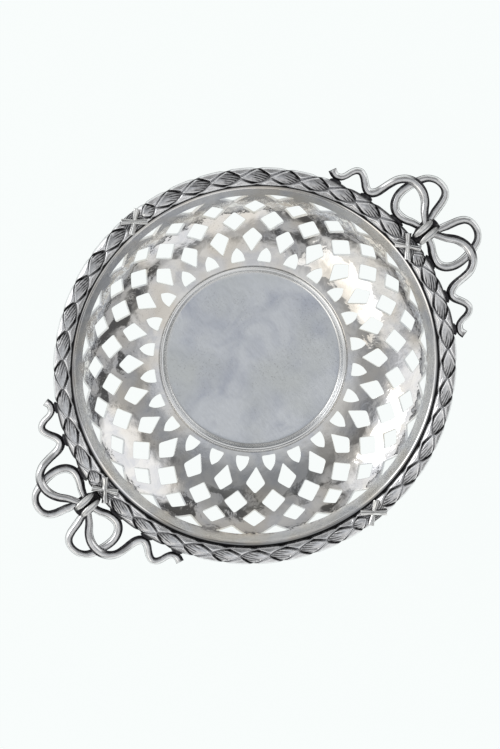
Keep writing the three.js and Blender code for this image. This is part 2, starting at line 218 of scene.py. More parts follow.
# The outline runs out along the underside, up the step with its ledge, and back in over two fine beads.
# Each corner is a radius and a height, and how far from these it lies, in thicknesses of the plate.
well_corners = [
    (flat_radius, 0, 0, 0),
    (floor_edge, -0.5, 0, 0),
    (floor_edge, 1, 0, 0.45),
    (wall_top + ledge_reach * 0.3, 0, ledge_height, -0.8),
    (wall_top + ledge_reach, 0, ledge_height, -0.6),
    (wall_top + ledge_reach, 0, ledge_height, 0),
    (wall_top, 0, ledge_height, 0),
    (wall_top, 0, well_crown, -0.25),
    (wall_top, -0.3, well_crown, 0.05),
    (wall_top, -0.72, well_crown, -0.25),
    (wall_top, -1.05, well_crown, -0.15),
    (wall_top, -1.35, well_crown, -0.75),
    (floor_edge, 0.1, 0, 1.4),
    (floor_edge, -0.5, 0, 1),
    (flat_radius, 0, 0, 1),
]
well_outline = softened([(radius + plate_thickness * out, height + plate_thickness * up)
                         for radius, out, height, up in well_corners], plate_thickness / 2, closed=False)
well_profile = np.vstack([[(r, 0) for r in floor_rings], well_outline,
                          [(r, plate_thickness) for r in reversed(floor_rings)]])
well_sides = 192
around = np.arange(well_sides) * math.tau / well_sides
well_rings = np.array([[(r * math.cos(a), r * math.sin(a), z) for a in around] for r, z in well_profile])
# The face of the floor is a little uneven, and its underside is flat on the table.
dent_depth = 0.045
well_dents = waves(11, 9, 14, 34)
upper = np.abs(well_rings[..., 2] - plate_thickness) < 1e-6
well_rings[..., 2] += np.where(upper, dent_depth * well_dents(well_rings[..., 0], well_rings[..., 1]), 0)
well_silver = silver_sheet("silver sheet, planished and clouded", bright=0xdde0e4, film=0xc5c9d2,
                           warm=0xd5d8d8, roughness=0.33, cloud_mm=15, mark_mm=5, mark_height_mm=0.04)
from_middle = np.hypot(well_rings[..., 0], well_rings[..., 1]).ravel()
# The step is glossier and less hammer-marked than the floor, and painted lighter as a painted highlight, so
# it shines more. Some black is left in its joint.
step = np.clip(from_middle - floor_edge + 0.8, 0, 1)
joint = from_middle > wall_top - 0.03
piece("sunk_well", *loft(well_rings), well_silver, "polished_silver", "well_plate",
      {"recess": 0.25 * joint, "matt": -0.75 * step, "worked": 1 - step})

# Pierced side. One disc of sterling sheet raised into a bowl over a stake, then saw-pierced by hand with
# 120 openings and polished; the plain band above them turns out over a shoulder into a narrow flange.
dish_radius = 59.7
oval_share = 0.012
side_rise = 17.0
lip_width = 1.3
border_width = 5.8
flange_inset = 0.6
foot_slope = math.radians(8.5)
lattice_lean = math.radians(1.6)
column_count = 24
half_column = math.pi / column_count

side_top_radius = dish_radius + solder_gap - lip_width
side_turn = 2 * (math.atan2(side_rise, side_top_radius - well_radius) - foot_slope)
side_bend = math.hypot(side_rise, side_top_radius - well_radius) / (2 * math.sin(side_turn / 2))
side_length = side_bend * side_turn
top_slope = foot_slope + side_turn
lip_bend = lip_width / math.sin(top_slope)
rim_height = foot_height + side_rise + lip_bend * (1 - math.cos(top_slope))
border_inner = dish_radius + solder_gap
border_outer = border_inner + border_width
hammer_depth = 0.035
side_dents = waves(23, 16, 6, 15)


def sheet_radius(station):
    return well_radius + side_bend * (np.sin(foot_slope + side_turn * station) - math.sin(foot_slope))


def sheet_point(angle, station, depth):
    """A point of the sheet. Stations 0 to 1 run up the pierced arc, 1 to 2 round the shoulder and 2 to 3
    over the flange; depth is in millimetres below the polished face."""
    angle, station, depth = np.broadcast_arrays(*(np.asarray(v, float) for v in (angle, station, depth)))
    run, lip = np.clip(station, 0, 1), np.clip(station - 1, 0, 1)
    slope = np.where(station > 1, top_slope * (1 - lip), foot_slope + side_turn * run)
    radius = sheet_radius(run) + lip_bend * (math.sin(top_slope) - np.sin(slope)) * (station > 1)
    height = foot_height + side_bend * (math.cos(foot_slope) - np.cos(foot_slope + side_turn * run))
    height = height + lip_bend * (np.cos(slope) - math.cos(top_slope)) * (station > 1)
    radius = radius + (border_outer - flange_inset - border_inner) * np.clip(station - 2, 0, None)
    turned = angle - lattice_lean * run
    hammered = np.interp(station, [0.02, 0.1, 0.85, 0.95, 1.3], [0, 1, 1, 0.35, 0])
    depth = depth - hammer_depth * hammered * side_dents(radius * np.cos(turned), radius * np.sin(turned))
    radius = radius + depth * np.sin(slope)
    height = height - depth * np.cos(slope)
    oval = oval_share * run
    return np.stack([radius * (1 + oval) * np.cos(turned), radius * (1 - oval) * np.sin(turned), height], -1)


def diamond(foot, corner, head, width):
    return [(0, foot), (width, corner), (0, head), (-width, corner)]


# Each row: whether its openings stand between the columns, their corners as shares of half a column across
# and of the side's arc upwards, and how far the saw rounded each corner, in millimetres.
opening_rows = [
    (0, [(-0.53, 0.05), (0.53, 0.05), (0.47, 0.105), (0.33, 0.158), (0, 0.213), (-0.33, 0.158),
         (-0.47, 0.105)], [0.5, 0.5, 0.8, 0.8, 0.4, 0.8, 0.8]),
    (1, diamond(0.15, 0.328, 0.433, 0.62), [0.45, 0.8, 0.6, 0.8]),
    (0, diamond(0.397, 0.527, 0.65, 0.67), [0.5, 0.8, 0.5, 0.8]),
    (1, diamond(0.599, 0.708, 0.798, 0.6), [0.45, 0.7, 0.45, 0.7]),
    (0, [(0, 0.788), (0.42, 0.85), (0.69, 0.889), (0, 0.893), (-0.69, 0.889), (-0.42, 0.85)],
     [0.5, 0.7, 0.3, 1.5, 0.3, 0.7]),
]
saw_step = 0.42


def evenly(outline, spacing):
    """Spaces the points of a closed outline evenly."""
    loop = np.vstack([outline, outline[:1]])
    run = np.concatenate([[0], np.cumsum(np.hypot(*np.diff(loop, axis=0).T))])
    at = np.arange(round(run[-1] / spacing)) * run[-1] / round(run[-1] / spacing)
    return np.stack([np.interp(at, run, loop[:, 0]), np.interp(at, run, loop[:, 1])], 1)


def sawn_opening(corners, softness, draw):
    """One opening cut by eye, in millimetres across and along the sheet, with its outward normals."""
    outline = np.array([(x * half_column * sheet_radius(y), y * side_length) for x, y in corners])
    middle = outline.mean(0)
    turn, size = math.radians(draw.uniform(-2, 2)), draw.uniform(0.975, 1.02)
    spin = np.array([(math.cos(turn), -math.sin(turn)), (math.sin(turn), math.cos(turn))])
    outline = (outline - middle) @ spin * size + middle + [draw.uniform(-0.12, 0.12) for _ in range(2)]
    outline += np.array([[draw.uniform(-0.07, 0.07) for _ in range(2)] for _ in outline])
    outline = evenly(softened(outline, softness), saw_step)
    along = np.roll(outline, -1, 0) - np.roll(outline, 1, 0)
    return outline, np.stack([along[:, 1], -along[:, 0]], 1) / np.hypot(*along.T)[:, None]


# The saw leaves a square wall, and polishing rounds its edges: how far out and how deep each ring lies.
edge_rings = [(0.05, 0), (0.014, 0.018), (0, 0.07), (0, sheet_thickness / 2), (0, sheet_thickness - 0.07),
              (0.014, sheet_thickness - 0.018), (0.05, sheet_thickness)]
edge_matt = [0.0, 0.3, 1.0, 1.0, 1.0, 0.3, 0.0]
face_ring = 0.12
draw = random.Random(5)
openings = []
for between, corners, softness in opening_rows:
    for k in range(column_count):
        outline, normals = sawn_opening(corners, softness, draw)
        openings.append(((2 * k + between) * half_column, outline, normals))


def placed(opening, spread):
    """The angle and station of an opening's outline, spread outwards by some millimetres."""
    angle, outline, normals = opening
    x, y = (outline + spread * normals).T
    return angle + x / sheet_radius(y / side_length), y / side_length


# The pierced part of the sheet is laid out in plan as triangles between a ring at the foot, a ring under
# the band, a loop round each opening and an even filling of points.
ring_count = 300
ring_angles = np.arange(ring_count) * math.tau / ring_count
foot_station, band_station = 0.012, 0.93
angles = [ring_angles, ring_angles]
stations = [np.full(ring_count, foot_station), np.full(ring_count, band_station)]
loops = []
total = 2 * ring_count
for opening in openings:
    angle, station = placed(opening, face_ring)
    angles.append(angle)
    stations.append(station)
    loops.append(total + np.arange(len(angle)))
    total += len(angle)
outline_places = sheet_point(np.concatenate(angles), np.concatenate(stations), 0)[:, :2]
outline_normals = np.zeros_like(outline_places)
for (angle, outline, normals), loop in zip(openings, loops):
    far = sheet_point(*placed((angle, outline, normals), face_ring + 0.1), 0)[:, :2]
    outline_normals[loop] = far - outline_places[loop]
grid_mm = 1.25
clear_mm = 0.35
ring_clearance = 0.012
filling = []
for row in range(int(side_length / grid_mm) + 1):
    station = foot_station + ring_clearance + row * grid_mm / side_length
    if station < band_station - ring_clearance:
        count = round(math.tau * sheet_radius(station) / grid_mm)
        filling += [((i + 0.5 * (row % 2)) * math.tau / count, station) for i in range(count)]
filling = np.array(filling)
filling_places = sheet_point(filling[:, 0], filling[:, 1], 0)[:, :2]
kept = []
for i, place in enumerate(filling_places):
    apart = place - outline_places[2 * ring_count:]
    nearest = np.argmin((apart ** 2).sum(1))
    outwards = np.dot(apart[nearest], outline_normals[2 * ring_count + nearest])
    if outwards > 0 and (apart[nearest] ** 2).sum() > clear_mm ** 2:
        kept.append(i)
angles = np.concatenate(angles + [filling[kept, 0]])
stations = np.concatenate(stations + [filling[kept, 1]])
plan = sheet_point(angles, stations, 0)[:, :2]
edges = [(i, (i + 1) % ring_count) for i in range(ring_count)]
edges += [(a + ring_count, b + ring_count) for a, b in edges]
for loop in loops:
    edges += list(zip(loop.tolist(), np.roll(loop, -1).tolist()))
cut = delaunay_2d_cdt([Vector(p) for p in plan.tolist()], edges, [], 0, 1e-7)
origin = [ids[0] for ids in cut[3]]
owner = np.full(len(plan), -1)
owner[:ring_count] = len(loops)
for number, loop in enumerate(loops):
    owner[loop] = number
sheet_faces = []
for face in cut[2]:
    a, b, c = (origin[i] for i in face)
    if owner[a] == owner[b] == owner[c] == len(loops):
        continue
    if owner[a] == owner[b] == owner[c] >= 0:
        middle = (plan[a] + plan[b] + plan[c]) / 3
        loop = loops[owner[a]]
        nearest = loop[np.argmin(((plan[loop] - middle) ** 2).sum(1))]
        if np.dot(middle - plan[nearest], outline_normals[nearest]) < 0:
            continue
    sheet_faces.append((a, b, c))

plan_count = len(plan)
side_points = [sheet_point(angles, stations, 0), sheet_point(angles, stations, sheet_thickness)]
sawn = [np.zeros(2 * plan_count)]
side_faces = list(sheet_faces)
side_faces += [(c + plan_count, b + plan_count, a + plan_count) for a, b, c in sheet_faces]


def walled(first, rows, last, reverse):
    """Joins a ring on the polished face to its twin on the back through rows of new points."""
    rings = [first]
    for row in rows:
        rings.append(sum(map(len, side_points)) + np.arange(len(row)))
        side_points.append(row)
    rings.append(last)
    for a, b in zip(rings, rings[1:]):
        quads = np.stack([a, np.roll(a, -1), np.roll(b, -1), b], 1)
        side_faces.extend((quads[:, ::-1] if reverse else quads).tolist())


for opening, loop in zip(openings, loops):
    rows = [sheet_point(*placed(opening, out), deep) for out, deep in edge_rings]
    walled(loop, rows, loop + plan_count, True)
    sawn.append(np.repeat(edge_matt, len(loop)))
foot_ring = np.arange(ring_count)
edge_rounding = 0.12
back_rounding = sheet_thickness - edge_rounding
foot_rows = [(0.004, 0), (0, edge_rounding), (0, back_rounding), (0.004, sheet_thickness)]
walled(foot_ring, [sheet_point(ring_angles, s, d) for s, d in foot_rows], foot_ring + plan_count, False)
shoulder = [0.95, 0.975, 1.0, 1.2, 1.4, 1.6, 1.8, 2.0, 2.5, 2.97]
band_rows = [(s, 0) for s in shoulder] + [(3, edge_rounding), (3, back_rounding)]
band_rows += [(s, sheet_thickness) for s in reversed(shoulder)]
band_ring = foot_ring + ring_count
walled(band_ring, [sheet_point(ring_angles, s, d) for s, d in band_rows], band_ring + plan_count, True)
side_points = np.vstack(side_points)
sawn = np.concatenate(sawn + [np.zeros(len(side_points) - sum(map(len, sawn)))])
plain_radius = np.hypot(side_points[:, 0] / (1 + oval_share), side_points[:, 1] / (1 - oval_share))
# The band was smoothed last, and hardly shows the hammer; it is a little duller than the shoulder.
smoothed = np.clip((plain_radius - sheet_radius(0.87)) / 1.2, 0, 1)
banded = np.clip(plain_radius - sheet_radius(0.89), 0, 1)
banded = banded * np.clip((sheet_radius(1.0) + 0.2 - plain_radius) / 0.4, 0, 1)
# Black is painted where the sheet runs in under the border, as the shade in the gap between them.
painted_shade_under_border = (plain_radius > border_inner - 0.35) * (side_points[:, 2] > rim_height - 0.5)
side_silver = silver_sheet("silver sheet, pierced and hand polished", bright=0xf1f0ee, film=0xdedfe2,
                           warm=0xeae5dd, roughness=0.06, cloud_mm=7, mark_mm=2.1, mark_height_mm=0.045)
piece("lattice_side", side_points, side_faces, side_silver, "polished_silver", "pierced_side",
      {"matt": sawn + 0.4 * banded, "recess": painted_shade_under_border, "worked": 1 - 0.88 * smoothed})

# Laurel border. Four lengths of cast sterling moulding soldered on the flange, each with ten overlapping
# laurel leaves and their side leaves, chased with veins and blackened so that the hollows stay dark. Black
# is also painted as shade in the corners along its edges and on its walls.
border_height = 2.2
border_edge = 0.8
leaf_lift = 0.6
scallop_depth = 0.35
tie_span = 7.2
border_middle = border_inner + border_width / 2
border_half = border_width / 2
border_seat = rim_height + solder_gap
leaves = 10
last_leaf_share = 0.55
cut_pitch = 0.8
hatch_pitch = 0.7
first_leaf, last_leaf = 3.3, 87.5
leaf_pitch = (last_leaf - first_leaf) / (leaves - 1 + last_leaf_share)


def oxidised_silver(name, bright, dark, roughness, grain_mm):
    """Cast sterling, blackened with sulphide and then rubbed bright on its high places. A black share, from 0
    to 1, says how much black is laid: the sulphide black that is left, and in places painted shade."""
    material = new_material(name)
    place = add(material, "TexCoord").outputs["Object"]
    recess = add(material, "Attribute", {"attribute_name": "recess"}).outputs["Fac"]
    grain = add(material, "TexNoise", {"Scale": 1 / (grain_mm * MM), "Detail": 4, "Roughness": 0.65},
                {"Vector": place})
    wander = add(material, "MapRange", {"From Min": 0.3, "From Max": 0.7, "To Min": -0.14, "To Max": 0.14},
                 {"Value": grain})
    black = add(material, "Math", {"operation": "ADD", "use_clamp": True}, {0: recess, 1: wander})
    base = add(material, "Mix", {"data_type": "RGBA", 6: linear(bright), 7: linear(dark)}, {0: black})
    dull = add(material, "MapRange", {"To Min": roughness, "To Max": 0.6}, {"Value": black})
    bump = add(material, "Bump", {"Strength": 0.6, "Distance": 0.05 * MM}, {"Height": grain})
    metal = add(material, "BsdfPrincipled", {"Metallic": 1.0},
                {"Base Color": base.outputs[2], "Roughness": dull, "Normal": bump})
    add(material, "OutputMaterial", {}, {"Surface": metal})
    return material


def smooth(value, low, high):
    share = np.clip((value - low) / (high - low), 0, 1)
    return share * share * (3 - 2 * share)


def waist(from_tie):
    """The moulding narrows in height under a tie, so that the crossed ribbons lie level with the leaves."""
    return 1 - 0.42 * (1 - smooth(from_tie, tie_span * 0.2, tie_span * 0.72))


def moulding(across, from_tie):
    crown = border_edge + (border_height - border_edge) * np.sqrt(np.clip(1 - across ** 2, 0, 1))
    return crown * waist(from_tie)


def leaf_relief(degrees, across, quarter):
    """Height of the border over its seat, how dark it is and how far out its edge stands, at an angle
    from one tie to the next and a share of the border's half width, -1 inside and 1 outside. No two
    leaves are cut quite alike."""
    from_tie = np.radians(np.minimum(degrees, 90 - degrees)) * border_middle
    place = (degrees - first_leaf) / leaf_pitch
    number = np.clip(np.floor(place), 0, leaves - 1)
    length = np.where(number == leaves - 1, last_leaf_share, 1.0)
    along = np.clip((place - number) / length, 0, 1)
    along_mm = along * length * math.radians(leaf_pitch) * border_middle
    leafy = smooth(degrees, first_leaf - 0.3, first_leaf + 0.5)
    leafy = leafy * smooth(-degrees, -last_leaf, 0.8 - last_leaf)
    vary, vary_more = np.sin(12.9 * number + 7.7 * quarter), np.sin(5.3 * number + 3.1 * quarter + 1)
    # The outer side of a leaf runs straight to a sharp corner, and its inner side is rounded.
    inner = np.interp(along, [0, 0.1, 0.3, 0.4, 0.46, 0.54, 0.66, 0.82, 0.94, 1],
                      [0.03, 0.22, 0.53, 0.64, 0.66, 0.62, 0.5, 0.3, 0.12, 0.03])
    outer = np.interp(along, [0, 0.12, 0.42, 0.46, 0.94, 1], [0.05, 0.32, 0.94, 0.9, 0.1, 0.03])
    wide = np.where(across < 0, inner, outer) * (1 + 0.04 * vary)
    out = np.abs(across)
    inside = smooth(wide - out, -0.02, 0.04)
    rise = np.interp(along, [0, 0.2, 0.5, 0.8, 0.97, 1], [0.1, 0.5, 0.85, 1.15, 1.2, 0.5])
    cheek = 1 - 0.4 * np.clip(out / wide, 0, 1) ** 2
    # The rim of a leaf is left proud towards its tip, and is rubbed bright.
    rim = np.exp(-((wide - 0.11 - out) / 0.07) ** 2) * smooth(along, 0.34, 0.48)
    # Slanting cuts shade the foot of a leaf and end near its middle.
    slant = (across * border_half - (0.3 + 0.05 * vary) * along_mm) / cut_pitch + 0.5 * vary_more
    ends = 0.5 + 0.08 * vary_more + 0.12 * np.sin(2.4 * np.round(slant) + 5 * vary)
    cuts = np.cos(np.pi * slant) ** 4 * smooth(along, 0.03, 0.1)
    cuts = cuts * (1 - smooth(along, ends - 0.12, ends + 0.1)) * smooth(wide - out, 0.02, 0.1)
    # A groove runs round the leaf. It is a wide wedge on the inner side and where the foot tucks under.
    wedge_in = np.interp(along, [0, 0.38, 0.48, 0.6, 0.85, 1], [0.24, 0.28, 0.5, 0.9, 0.6, 0.26])
    wedge_out = np.interp(along, [0, 0.3, 0.46, 1], [0.45, 0.66, 0.34, 0.26])
    wedge = np.where(across < 0, wedge_in, wedge_out)
    black_in = np.interp(along, [0, 0.35, 0.48, 0.6, 0.85, 1], [0.8, 0.5, 0.9, 1.25, 1, 0.5])
    black_out = np.interp(along, [0, 0.1, 0.42, 0.52, 1], [0.9, 1.2, 1.2, 0.55, 0.4])
    black = np.where(across < 0, black_in, black_out)
    groove = np.exp(-np.abs(((out - wide) * border_half - 0.3 * wedge) / (0.62 * wedge)) ** 2.4)
    share = np.clip((out - wide) / (1 - wide), 0, 1)
    side_leaf = 0.42 * smooth(share, 0.05, 0.4) * (1 - 0.55 * smooth(share, 0.5, 1))
    crease = np.exp(-((share - 0.62) / 0.1) ** 2) * smooth(np.abs(along - 0.45), 0.2, 0.36)
    relief = inside * (leaf_lift * rise * cheek + 0.22 * rim - 0.16 * cuts)
    relief = relief + (1 - inside) * (side_leaf - 0.09 * crease) - 0.5 * groove
    height = moulding(across, from_tie) + leafy * relief * waist(from_tie)
    # The black stays in the grooves, cuts and creases, and under a tie. Black is painted in the corners along
    # both edges, as the shade of the gaps beside the border.
    face = 0.3 + 0.1 * vary + 0.3 * (1 - smooth(along, 0.02, 0.3))
    face = face - 0.15 * smooth(along, 0.5, 0.9) - 0.7 * rim
    field = np.where(across < 0, -0.08, -0.04) + 0.3 * crease
    field = field + 0.2 * (1 - smooth(np.abs(along - 0.45), 0.05, 0.3))
    recess = leafy * (0.84 * black * groove + inside * (face + 0.68 * cuts) + (1 - inside) * field)
    hatching = 0.7 + 0.25 * np.cos(math.tau * (across * border_half + 0.4 * from_tie) / hatch_pitch)
    recess = recess + (1 - leafy) * hatching
    # Painted shade: black in the corners along the inner and outer edges.
    corner = np.where(across < 0, smooth(out, 0.89, 0.96), 0.5 * smooth(out, 0.97, 0.998))
    recess = np.maximum(recess, corner)
    notch = leafy * np.exp(-((along - 0.44) / 0.12) ** 2)
    return np.maximum(height, 0.15), np.clip(recess, 0, 1), 1 - notch * scallop_depth / border_half


def quarter_turned(points, turns):
    """Turns points about the middle of the dish by quarters, seats them and draws them into the oval."""
    x, y, z = np.asarray(points, float).reshape(-1, 3).T
    cosine, sine = round(math.cos(turns * math.pi / 2)), round(math.sin(turns * math.pi / 2))
    return np.stack([(x * cosine - y * sine) * (1 + oval_share), (x * sine + y * cosine) * (1 - oval_share),
                     z + border_seat], 1)


# Two quarters all but meet under a tie, where solder closes the joint.
end_gap = 0.03
end_angle = math.degrees(end_gap / border_middle)
quarter_steps, section_steps = 800, 73
quarter_angles = np.linspace(end_angle, 90 - end_angle, quarter_steps)
across_shares = np.sin(np.linspace(math.pi / 2, -math.pi / 2, section_steps))
laurel_silver = oxidised_silver("cast silver, chased, oxidised, with painted shade", bright=0xf8f8f9, dark=0x29282b,
                                roughness=0.22, grain_mm=1.1)
degrees, across = np.meshgrid(quarter_angles, across_shares, indexing="ij")
for k in range(4):
    height, recess, edge = leaf_relief(degrees, across, k)
    # The outer slope beside the bows is painted black, as the shade of the bows on it.
    from_bow = degrees if k % 2 == 0 else 90 - degrees
    recess = np.maximum(recess, 0.85 * smooth(across, 0.62, 0.86) * (1 - smooth(from_bow, 27, 33)))
    radius = border_middle + across * edge * border_half
    upper = np.stack([radius * np.cos(np.radians(degrees)), radius * np.sin(np.radians(degrees)), height], -1)
    lower = upper[:, [-1, 0]].copy()
    lower[..., 2] = 0
    rings = np.concatenate([upper, lower], 1)
    # The walls and the underside are painted nearly black, as shade.
    dark = np.concatenate([recess, np.full((len(rings), 2), 0.9)], 1)
    points, faces = loft(rings)
    piece("laurel_%d" % (k + 1), quarter_turned(points, k), faces, laurel_silver, "oxidised_silver",
          "laurel_quarter_%d" % (k + 1), {"recess": dark.ravel()})

# Crossed ribbon ties. Four small crosses of cast silver ribbon that bind the border where its quarters
# meet. The arms are ribbed along their length, one passes over the other, and both are soldered down.
tie_width = 1.6
tie_thickness = 0.8
tie_reach = 0.93
tie_groove = 0.42
tie_across = np.linspace(1, -1, 25)
tie_crown = 1 - 0.7 * np.abs(tie_across) ** 1.8
tie_up = tie_thickness * (tie_crown - 0.24 * np.exp(-((tie_across - tie_groove) / 0.18) ** 2))


def flat_backed(across, up, width):
    """A ribbon's section, from shares of its half width and heights over its flat back."""
    return np.vstack([np.stack([across * width / 2, up], 1), [(-width / 2, 0), (width / 2, 0)]])


tie_section = flat_backed(tie_across, tie_up, tie_width)


def swept(stations, sections):
    """Sweeps sections of (across, up) points along stations of (x, y, z, heading, width share)."""
    rings = []
    for (x, y, z, heading, wide), section in zip(stations, sections):
        across, up = np.asarray(section).T
        rings.append(np.stack([x - across * wide * math.sin(heading), y + across * wide * math.cos(heading),
                               z + up], 1))
    return loft(np.array(rings))


def on_moulding(x, y):
    """Height of the bare moulding beside a tie on the +X axis."""
    across = np.clip((np.hypot(x, y) - border_middle) / border_half, -1, 1)
    return moulding(across, np.abs(y))


def tie_ribbon(slant):
    """One ribbon across the border, wider towards its ends. That of slant 1 passes over the other."""
    heading = math.atan2(slant * tie_span, border_width)
    sides = np.array([-1, 0, 1]) * tie_width / 2
    stations = []
    for share in np.linspace(-1, 1, 41):
        x = border_middle + tie_reach * share * border_half
        y = slant * tie_reach * share * tie_span / 2
        rest = on_moulding(x + sides * math.sin(heading), y - sides * math.cos(heading)).max()
        over = 0.15 * slant * math.exp(-(share / 0.3) ** 2)
        flare = 0.94 + 0.42 * abs(share) ** 1.5
        stations.append((x, y, rest + 0.5 * solder_gap + over, heading, flare))
    return swept(stations, [tie_section] * len(stations))


def joined(name, bodies):
    """Joins closed bodies that run through each other into one, and gives back its points and faces."""
    made = [in_scene("%s_body_%d" % (name, i), body_mesh(name, points, faces))
            for i, (points, faces) in enumerate(bodies)]
    for other in made[1:]:
        union = made[0].modifiers.new("union", "BOOLEAN")
        union.operation, union.solver, union.object = "UNION", "EXACT", other
    whole = made[0].evaluated_get(bpy.context.evaluated_depsgraph_get()).to_mesh()
    points = np.array([v.co for v in whole.vertices]) / MM
    faces = [tuple(p.vertices) for p in whole.polygons]
    for body in made:
        bpy.data.objects.remove(body)
    return points, faces


tie_points, tie_faces = joined("tie", [tie_ribbon(1), tie_ribbon(-1)])
tie_silver = oxidised_silver("cast silver ribbon, rubbed bright", bright=0xfcfcfa, dark=0x3a393c,
                             roughness=0.2, grain_mm=1.6)
# The black is left low on a ribbon's sides and in its groove, but not where the other ribbon covers it.
tie_x, tie_y, tie_z = tie_points.T
tie_dark = 0.85 * (1 - smooth(tie_z - on_moulding(tie_x, tie_y), 0.4, 0.7))
covered = np.zeros(len(tie_points), bool)
for slant in (1, -1):
    heading = math.atan2(slant * tie_span, border_width)
    off = ((border_middle - tie_x) * math.sin(heading) + tie_y * math.cos(heading)) * 2 / tie_width
    tie_dark += 0.45 * np.exp(-((off - tie_groove) / 0.2) ** 2) * ~covered
    covered = np.abs(off) < 1
for k in range(4):
    piece("ribbon_tie_%d" % (k + 1), quarter_turned(tie_points, k), tie_faces, tie_silver, "oxidised_silver",
          "cross_tie_%d" % (k + 1), {"recess": tie_dark})

# Bows. At each end of the dish a ribbon bow is the handle: two loops and two tails of cast ribbon, soldered
# to the border's edge. A run is a bright band with one side bevelled, and that side is painted black as
# the ribbon's shade side; it turns over where the tail crosses its loop, so that the black side changes
# there.
ribbon_width = 2.9
ribbon_thickness = 1.5
bow_reach = 16.7
bow_half_span = 34.2
knot_length = 8.1
knot_width = 5.6
knot_height = 4.3
# Places of the ribbon's middle: shares of the bow's reach outwards, and of its half span along the border.
loop_shares = [
    (0.078, 0.142), (0.025, 0.2), (0, 0.269), (0.021, 0.327), (0.106, 0.374), (0.233, 0.398),
    (0.348, 0.401), (0.468, 0.392), (0.601, 0.374), (0.732, 0.35), (0.882, 0.312), (0.965, 0.262),
    (0.988, 0.209), (0.965, 0.159), (0.896, 0.123), (0.785, 0.101), (0.67, 0.089), (0.555, 0.078),
    (0.458, 0.066),
]
tail_shares = [
    (0.394, 0.142), (0.532, 0.2), (0.613, 0.251), (0.659, 0.3), (0.675, 0.35), (0.659, 0.4),
    (0.601, 0.451), (0.497, 0.494), (0.348, 0.524), (0.198, 0.547), (0.083, 0.572), (0.014, 0.608),
    (0.007, 0.644), (0.055, 0.682), (0.136, 0.715), (0.214, 0.749), (0.263, 0.786), (0.251, 0.824),
    (0.175, 0.861), (0.076, 0.892), (0.014, 0.926), (0, 0.963), (0.021, 0.996), (0.067, 1.019),
]
# Width of the ribbon at even steps along a run, from the knot onwards.
loop_widths = [0.75, 0.9, 1, 1, 1, 0.95, 0.78, 0.75, 0.92, 0.95, 0.7]
tail_widths = [0.72, 0.92, 1, 1, 0.95, 0.93, 1, 0.88, 0.78, 0.72, 0.9]


def curve_through(places, steps):
    """Points and headings at even steps along a smooth curve through places."""
    places = np.array(places)
    ends = [2 * places[0] - places[1], 2 * places[-1] - places[-2]]
    padded = np.vstack([ends[:1], places, ends[1:]])
    fine = []
    for p0, p1, p2, p3 in zip(padded, padded[1:], padded[2:], padded[3:]):
        t0, t1, t2 = (math.sqrt(math.dist(a, b)) for a, b in ((p0, p1), (p1, p2), (p2, p3)))
        out = ((p1 - p0) / t0 - (p2 - p0) / (t0 + t1) + (p2 - p1) / t1) * t1
        into = ((p2 - p1) / t1 - (p3 - p1) / (t1 + t2) + (p3 - p2) / t2) * t1
        for t in np.linspace(0, 1, 24, endpoint=False):
            fine.append((2 * p1 - 2 * p2 + out + into) * t ** 3 + (3 * p2 - 3 * p1 - 2 * out - into) * t ** 2
                        + out * t + p1)
    fine = np.array(fine + [places[-1]])
    run = np.concatenate([[0], np.cumsum(np.hypot(*np.diff(fine, axis=0).T))])
    at = np.linspace(0, run[-1], steps + 1)
    points = np.stack([np.interp(at, run, fine[:, 0]), np.interp(at, run, fine[:, 1])], 1)
    along = np.gradient(points, axis=0)
    return points, np.arctan2(along[:, 1], along[:, 0])


ribbon_across = np.sin(np.linspace(math.pi / 2, -math.pi / 2, 33))
loop_steps, tail_steps = 170, 190


def ribbon_profile(lean, bevel):
    """Height and darkness over the ribbon's width, as shares. At lean 1 its left side is the bevel, painted
    black as shade, which is wide where bevel is 1 and narrow where it is -1, its right side a narrow bright
    facet, and between them lies the flat. The flat is painted a little darker towards the bevel, and the
    right edge has a thin painted dark line, both as shade."""
    up, dark = 0, 0
    for share, a in (((1 + lean) / 2, ribbon_across), ((1 - lean) / 2, -ribbon_across)):
        from_edge = a + 0.15 * bevel
        bevelled = np.interp(from_edge, [-1, -0.95, -0.74, -0.6, -0.36, -0.1, 0.34, 0.44, 0.58, 1],
                             [0.2, 0.36, 0.64, 0.78, 0.93, 1.0, 0.94, 0.84, 0.45, 0.12])
        up = up + share * bevelled
        dark = dark + share * (smooth(from_edge, 0.36, 0.56) + smooth(-a, 0.88, 0.96)
                               + 0.22 * smooth(a, -0.5, 0.1))
    return up, np.clip(dark, 0, 1)


def ribbon_run(side, places, widths, steps, height_at, lean_at):
    """A run of ribbon at the +X end of the dish as points and faces, with its darkness at the points."""
    edge = border_outer + solder_gap + ribbon_width / 2
    route = [((edge + out) * math.cos(side * along / border_outer),
              (edge + out) * math.sin(side * along / border_outer)) for out, along in places]
    points, headings = curve_through(route, steps)
    stations, sections, darks = [], [], []
    for (x, y), heading, share in zip(points, headings, np.linspace(0, 1, steps + 1)):
        bevel = math.sin(19 * share + side) * math.sin(7 * share + 1)
        up, dark = ribbon_profile(side * lean_at(share), bevel)
        wide = np.interp(share, np.linspace(0, 1, len(widths)), widths)
        stations.append((x, y, height_at(share), heading, wide))
        sections.append(flat_backed(ribbon_across, up * ribbon_thickness, ribbon_width))
        # The flat back of the ribbon is painted black, as the shade under it.
        darks += [*dark, 1, 1]
    return *swept(stations, sections), darks


def forked(run):
    """Spreads the last of a tail into two short points, with a notch between them."""
    points, faces, darks = run
    rings = points.reshape(tail_steps + 1, -1, 3)
    heading = rings[-1] - rings[-2]
    heading[:, 2] = 0
    heading /= np.hypot(*heading.T[:2])[:, None]
    out = np.abs(np.append(ribbon_across, [-1, 1]))
    for back, pull in ((1, 1.0), (2, 0.66), (3, 0.33)):
        rings[-back] += heading * (pull * (1.3 * out - 0.8))[:, None]
    return rings.reshape(-1, 3), faces, darks


